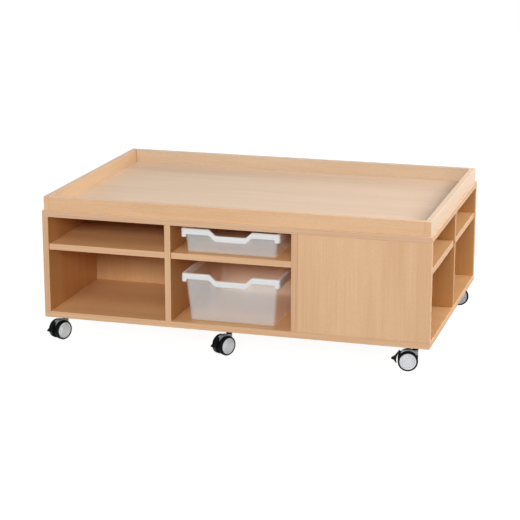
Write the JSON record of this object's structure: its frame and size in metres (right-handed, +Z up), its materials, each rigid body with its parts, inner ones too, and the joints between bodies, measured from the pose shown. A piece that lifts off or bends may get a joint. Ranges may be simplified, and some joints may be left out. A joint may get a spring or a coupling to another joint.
{
  "type": "play table",
  "caption": "Low wooden play table on castors: railed top, open storage bays with shelves on three sides, and pull-out translucent trays.",
  "frame": {"origin": "on the floor, under the middle of the table", "axes": "+X along the length towards the open end, -Y towards the front with the trays, +Z up"},
  "size_m": [1.2041, 0.8069, 0.461],
  "materials": {
    "board_wood": "satin lacquered beech",
    "rail_wood": "satin lacquered beech",
    "dowel_wood": "plain beech",
    "tray_plastic": "milky translucent, soft gloss",
    "tyre": "black tread",
    "wheel_plastic": "light grey",
    "housing_plastic": "grey",
    "pedal_plastic": "black",
    "steel": "zinc plated"
  },
  "bodies": {
    "table": {"base_board": "board_wood", "base_screws": "steel", "caster_plates": "steel", "caster_screws": "steel", "cross_divider": "board_wood", "end_partition": "board_wood", "front_divider": "board_wood", "front_rail": "rail_wood", "front_right_panel": "board_wood", "left_rail": "rail_wood", "left_side_panel": "board_wood", "rear_divider": "board_wood", "rear_rail": "rail_wood", "rear_right_panel": "board_wood", "right_rail": "rail_wood", "shelf_end_front": "board_wood", "shelf_end_rear": "board_wood", "shelf_front_left": "board_wood", "shelf_front_middle": "board_wood", "shelf_pins": "steel", "shelf_rear_left": "board_wood", "shelf_rear_middle": "board_wood", "spine_panel": "board_wood", "top_board": "board_wood", "top_dowels": "dowel_wood"},
    "shallow_tray": {"shallow_tray": "tray_plastic"},
    "deep_tray": {"deep_tray": "tray_plastic"},
    "caster_front_left_swivel": {"caster_front_left_housing": "housing_plastic"},
    "caster_front_left_wheelset": {"caster_front_left_axle": "steel", "caster_front_left_wheels": "wheel_plastic", "caster_front_left_tyres": "tyre"},
    "caster_front_left_pedal": {"caster_front_left_brake": "pedal_plastic"},
    "caster_front_middle_swivel": {"caster_front_middle_housing": "housing_plastic"},
    "caster_front_middle_wheelset": {"caster_front_middle_axle": "steel", "caster_front_middle_wheels": "wheel_plastic", "caster_front_middle_tyres": "tyre"},
    "caster_front_middle_pedal": {"caster_front_middle_brake": "pedal_plastic"},
    "caster_front_right_swivel": {"caster_front_right_housing": "housing_plastic"},
    "caster_front_right_wheelset": {"caster_front_right_axle": "steel", "caster_front_right_wheels": "wheel_plastic", "caster_front_right_tyres": "tyre"},
    "caster_front_right_pedal": {"caster_front_right_brake": "pedal_plastic"},
    "caster_rear_left_swivel": {"caster_rear_left_housing": "housing_plastic"},
    "caster_rear_left_wheelset": {"caster_rear_left_axle": "steel", "caster_rear_left_wheels": "wheel_plastic", "caster_rear_left_tyres": "tyre"},
    "caster_rear_middle_swivel": {"caster_rear_middle_housing": "housing_plastic"},
    "caster_rear_middle_wheelset": {"caster_rear_middle_axle": "steel", "caster_rear_middle_wheels": "wheel_plastic", "caster_rear_middle_tyres": "tyre"},
    "caster_rear_right_swivel": {"caster_rear_right_housing": "housing_plastic"},
    "caster_rear_right_wheelset": {"caster_rear_right_axle": "steel", "caster_rear_right_wheels": "wheel_plastic", "caster_rear_right_tyres": "tyre"}
  },
  "joints": [
    {"name": "shallow_tray_pull", "type": "slide", "parent": "table", "child": "shallow_tray", "axis": [0, -1, 0], "range_m": [0, 0.385]},
    {"name": "deep_tray_pull", "type": "slide", "parent": "table", "child": "deep_tray", "axis": [0, -1, 0], "range_m": [0, 0.385]},
    {"name": "caster_front_left_swivel", "type": "hinge", "parent": "table", "child": "caster_front_left_swivel", "pos_m": [-0.5617, -0.326, 0.07], "axis": [0, 0, 1], "continuous": true},
    {"name": "caster_front_left_roll", "type": "hinge", "parent": "caster_front_left_swivel", "child": "caster_front_left_wheelset", "pos_m": [-0.57203, -0.34542, 0.03], "axis": [0.8829, -0.4695, 0], "continuous": true},
    {"name": "caster_front_left_brake", "type": "hinge", "parent": "caster_front_left_swivel", "child": "caster_front_left_pedal", "pos_m": [-0.5786, -0.35779, 0.046], "axis": [0.8829, -0.4695, 0], "range_deg": [0, 10]},
    {"name": "caster_front_middle_swivel", "type": "hinge", "parent": "table", "child": "caster_front_middle_swivel", "pos_m": [-0.024, -0.338, 0.07], "axis": [0, 0, 1], "continuous": true},
    {"name": "caster_front_middle_roll", "type": "hinge", "parent": "caster_front_middle_swivel", "child": "caster_front_middle_wheelset", "pos_m": [-0.03533, -0.35686, 0.03], "axis": [0.8572, -0.515, 0], "continuous": true},
    {"name": "caster_front_middle_brake", "type": "hinge", "parent": "caster_front_middle_swivel", "child": "caster_front_middle_pedal", "pos_m": [-0.04254, -0.36886, 0.046], "axis": [0.8572, -0.515, 0], "range_deg": [0, 10]},
    {"name": "caster_front_right_swivel", "type": "hinge", "parent": "table", "child": "caster_front_right_swivel", "pos_m": [0.549, -0.34, 0.07], "axis": [0, 0, 1], "continuous": true},
    {"name": "caster_front_right_roll", "type": "hinge", "parent": "caster_front_right_swivel", "child": "caster_front_right_wheelset", "pos_m": [0.52748, -0.34457, 0.03], "axis": [0.2079, -0.9781, 0], "continuous": true},
    {"name": "caster_front_right_brake", "type": "hinge", "parent": "caster_front_right_swivel", "child": "caster_front_right_pedal", "pos_m": [0.51379, -0.34748, 0.046], "axis": [0.2079, -0.9781, 0], "range_deg": [0, 10]},
    {"name": "caster_rear_left_swivel", "type": "hinge", "parent": "table", "child": "caster_rear_left_swivel", "pos_m": [-0.534, 0.371, 0.07], "axis": [0, 0, 1], "continuous": true},
    {"name": "caster_rear_left_roll", "type": "hinge", "parent": "caster_rear_left_swivel", "child": "caster_rear_left_wheelset", "pos_m": [-0.55567, 0.36718, 0.03], "axis": [0.1736, -0.9848, 0], "continuous": true},
    {"name": "caster_rear_middle_swivel", "type": "hinge", "parent": "table", "child": "caster_rear_middle_swivel", "pos_m": [-0.024, 0.371, 0.07], "axis": [0, 0, 1], "continuous": true},
    {"name": "caster_rear_middle_roll", "type": "hinge", "parent": "caster_rear_middle_swivel", "child": "caster_rear_middle_wheelset", "pos_m": [-0.00233, 0.36718, 0.03], "axis": [0.1736, 0.9848, 0], "continuous": true},
    {"name": "caster_rear_right_swivel", "type": "hinge", "parent": "table", "child": "caster_rear_right_swivel", "pos_m": [0.534, 0.371, 0.07], "axis": [0, 0, 1], "continuous": true},
    {"name": "caster_rear_right_roll", "type": "hinge", "parent": "caster_rear_right_swivel", "child": "caster_rear_right_wheelset", "pos_m": [0.55515, 0.37706, 0.03], "axis": [-0.2756, 0.9613, 0], "continuous": true}
  ]
}
